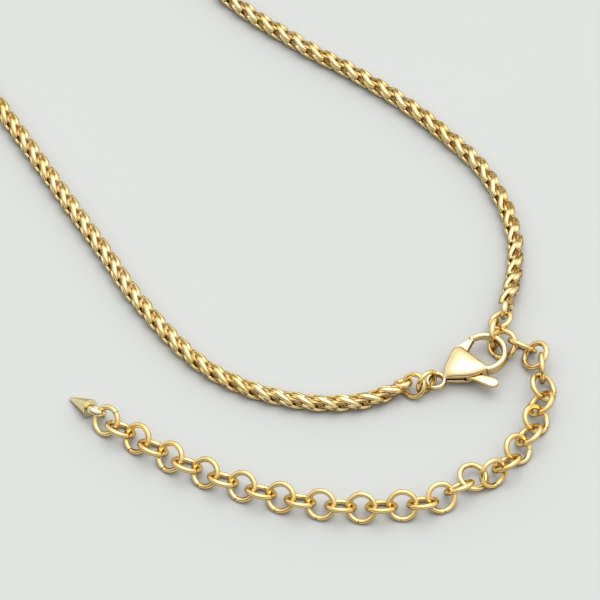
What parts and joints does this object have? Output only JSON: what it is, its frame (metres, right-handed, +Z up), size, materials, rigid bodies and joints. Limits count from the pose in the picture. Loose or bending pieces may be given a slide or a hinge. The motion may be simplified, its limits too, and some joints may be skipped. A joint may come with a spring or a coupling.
{
  "type": "wheat chain necklace with lobster clasp and extender chain",
  "caption": "Closed woven chain necklace with a sprung lobster clasp and a free extender of round links that ends in a small cone.",
  "frame": {"origin": "on the surface that the necklace lies on, under the middle of its box", "axes": "+Z up from the surface, +X to the right and +Y away from the viewer, who sees the clasp in front"},
  "size_m": [0.144, 0.1728, 0.004],
  "materials": {
    "chain_gold": "polished gold plate",
    "link_gold": "polished gold plate",
    "clasp_gold": "polished pale gold plate",
    "spike_gold": "polished pale gold plate"
  },
  "bodies": {
    "root": {"wheat_chain": "chain_gold", "chain_ring": "link_gold", "clasp_ring": "link_gold", "hook_ring": "link_gold", "chain_end_ring": "link_gold", "clasp_body": "clasp_gold", "extender_link_01": "link_gold", "extender_link_02": "link_gold", "extender_link_03": "link_gold", "extender_link_04": "link_gold", "extender_link_05": "link_gold", "extender_link_06": "link_gold", "extender_link_07": "link_gold", "extender_link_08": "link_gold", "extender_link_09": "link_gold", "extender_link_10": "link_gold", "extender_link_11": "link_gold", "extender_link_12": "link_gold", "extender_link_13": "link_gold", "extender_link_14": "link_gold", "extender_link_15": "link_gold", "extender_link_16": "link_gold", "extender_link_17": "link_gold", "extender_link_18": "link_gold", "extender_link_19": "link_gold", "extender_link_20": "link_gold", "extender_link_21": "link_gold", "extender_link_22": "link_gold", "extender_link_23": "link_gold", "extender_link_24": "link_gold", "extender_link_25": "link_gold", "extender_link_26": "link_gold", "extender_link_27": "link_gold", "extender_link_28": "link_gold", "extender_link_29": "link_gold", "extender_link_30": "link_gold", "extender_link_31": "link_gold", "extender_link_32": "link_gold", "spike_drop": "spike_gold"},
    "lever": {"clasp_lever": "clasp_gold"}
  },
  "joints": [
    {"name": "lever_hinge", "type": "hinge", "parent": "root", "child": "lever", "pos_m": [0.06116, -0.06343, 0.0017], "axis": [0.0962, 0.0408, -0.9945], "range_deg": [0, 18], "stiffness_Nm_per_rad": 0.004, "springref_deg": -14.32}
  ]
}
